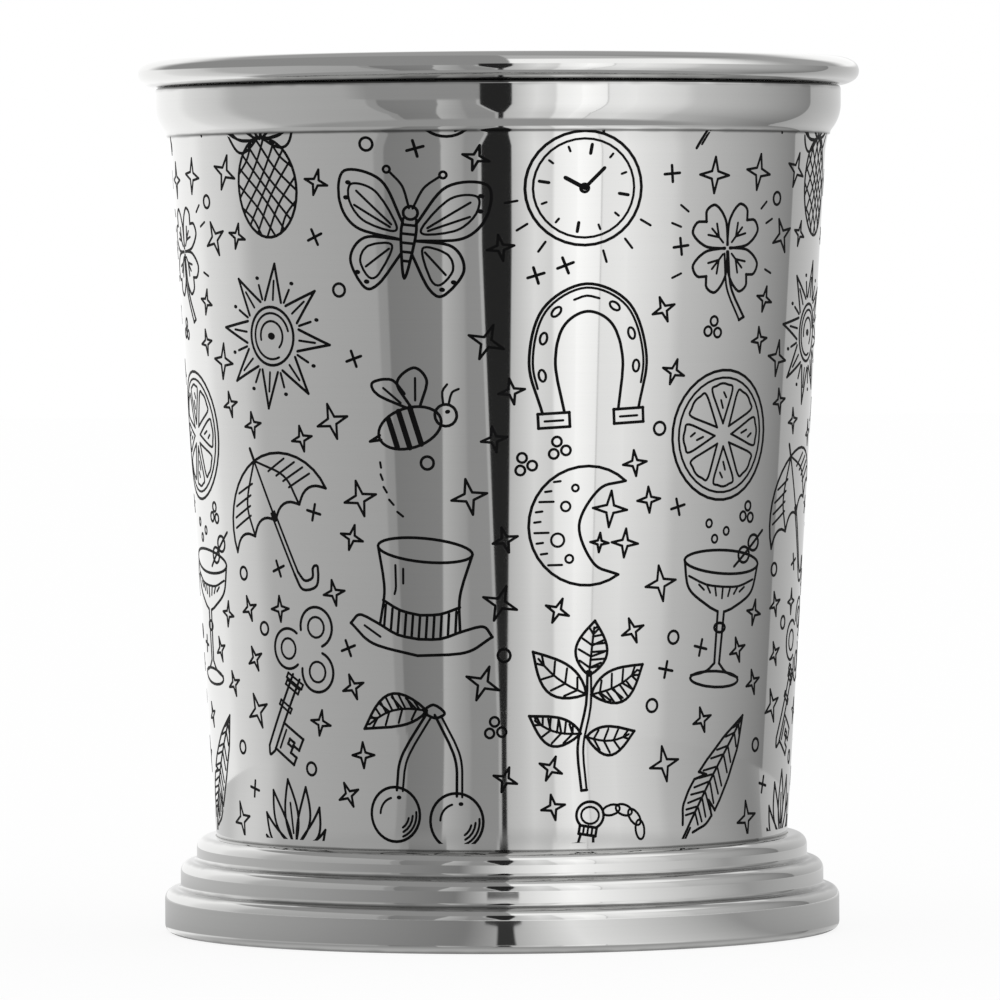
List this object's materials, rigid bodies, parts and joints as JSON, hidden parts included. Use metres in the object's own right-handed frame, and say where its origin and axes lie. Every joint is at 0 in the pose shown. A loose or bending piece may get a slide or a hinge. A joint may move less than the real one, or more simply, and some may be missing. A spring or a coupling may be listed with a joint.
{
  "type": "julep cup",
  "caption": "Tapered steel julep cup with a rounded rim bead, a collar band under it and a stepped foot moulding",
  "frame": {"origin": "centre of the ring that the cup stands on, at the standing face", "axes": "+Z is the cup's axis, from foot to mouth; the metal is turned alike all round, and -Y faces the picture's camera"},
  "size_m": [0.0864, 0.0864, 0.1043],
  "materials": {
    "polished_steel": "mirror-polished stainless steel",
    "satin_steel": "satin stainless steel",
    "solder": "bright solder, dressed flush",
    "black_print": "black line print, fired on"
  },
  "bodies": {
    "root": {"cup_body": "polished_steel", "rim_bead": "polished_steel", "collar_band": "polished_steel", "foot_moulding": "polished_steel", "base_plate": "satin_steel", "rim_solder": "solder", "collar_solder": "solder", "foot_solder": "solder", "plate_solder": "solder"}
  },
  "joints": []
}
